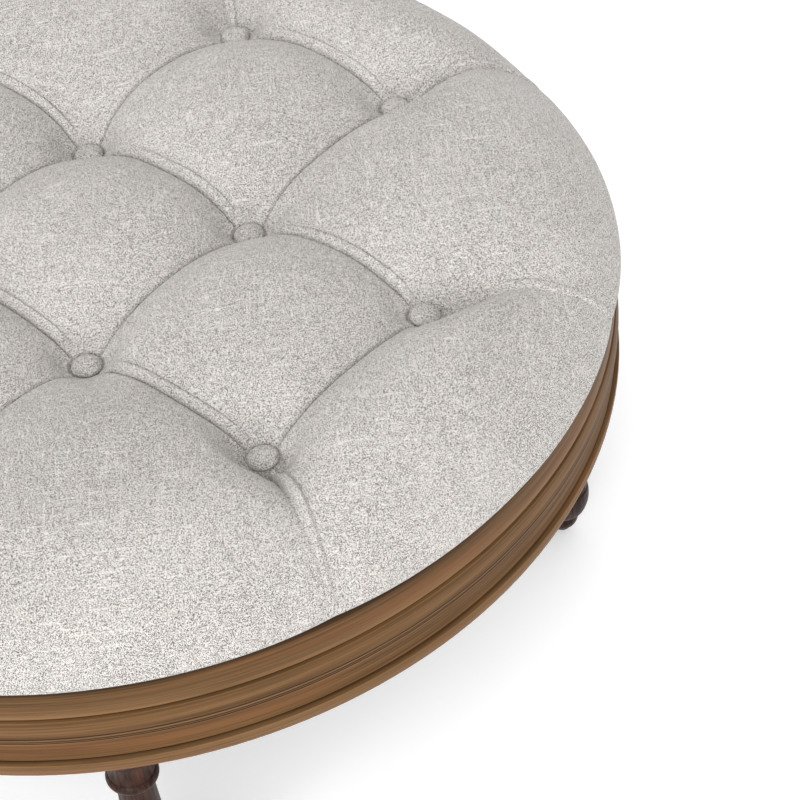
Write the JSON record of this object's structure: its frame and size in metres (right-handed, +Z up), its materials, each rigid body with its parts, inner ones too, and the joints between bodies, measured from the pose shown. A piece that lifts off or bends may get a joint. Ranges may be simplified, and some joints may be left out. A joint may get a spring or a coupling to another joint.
{
  "type": "ottoman coffee table",
  "caption": "Round ottoman coffee table: a deep button-tufted fabric cushion on a moulded wooden apron with turned legs on its diagonals.",
  "frame": {"origin": "on the floor under the middle of the table", "axes": "+Z up; the rows of buttons run along X and Y, and the legs stand on the diagonals between them"},
  "size_m": [0.99, 0.99, 0.5149],
  "materials": {
    "cover_fabric": "heathered linen weave",
    "foam": "open-cell foam",
    "wadding": "polyester wadding",
    "plywood": "sawn plywood",
    "frame_wood": "planed, unfinished",
    "apron_wood": "stained and rubbed, satin",
    "leg_wood": "very dark stain, satin",
    "glide_plastic": "matt",
    "dust_fabric": "non-woven black",
    "twine": "waxed twine",
    "steel": "zinc plated"
  },
  "bodies": {
    "root": {"cushion_cover": "cover_fabric", "button_01": "cover_fabric", "button_02": "cover_fabric", "button_03": "cover_fabric", "button_04": "cover_fabric", "button_05": "cover_fabric", "button_06": "cover_fabric", "button_07": "cover_fabric", "button_08": "cover_fabric", "button_09": "cover_fabric", "button_10": "cover_fabric", "button_11": "cover_fabric", "button_12": "cover_fabric", "foam_pad": "foam", "edge_wadding": "wadding", "deck": "plywood", "cross_rail_lower": "frame_wood", "cross_rail_upper": "frame_wood", "leg_block_1": "frame_wood", "leg_block_2": "frame_wood", "leg_block_3": "frame_wood", "leg_block_4": "frame_wood", "apron_dowels": "frame_wood", "apron_1": "apron_wood", "apron_2": "apron_wood", "apron_3": "apron_wood", "apron_4": "apron_wood", "leg_1": "leg_wood", "leg_2": "leg_wood", "leg_3": "leg_wood", "leg_4": "leg_wood", "glide_1": "glide_plastic", "glide_2": "glide_plastic", "glide_3": "glide_plastic", "glide_4": "glide_plastic", "dust_cover": "dust_fabric", "tufting_twines": "twine", "button_loops": "steel", "twine_washers": "steel", "cover_staples": "steel", "dust_staples": "steel", "deck_screws": "steel", "block_screws": "steel", "hanger_bolts": "steel", "bolt_washers": "steel", "bolt_nuts": "steel", "glide_nails": "steel"}
  },
  "joints": []
}
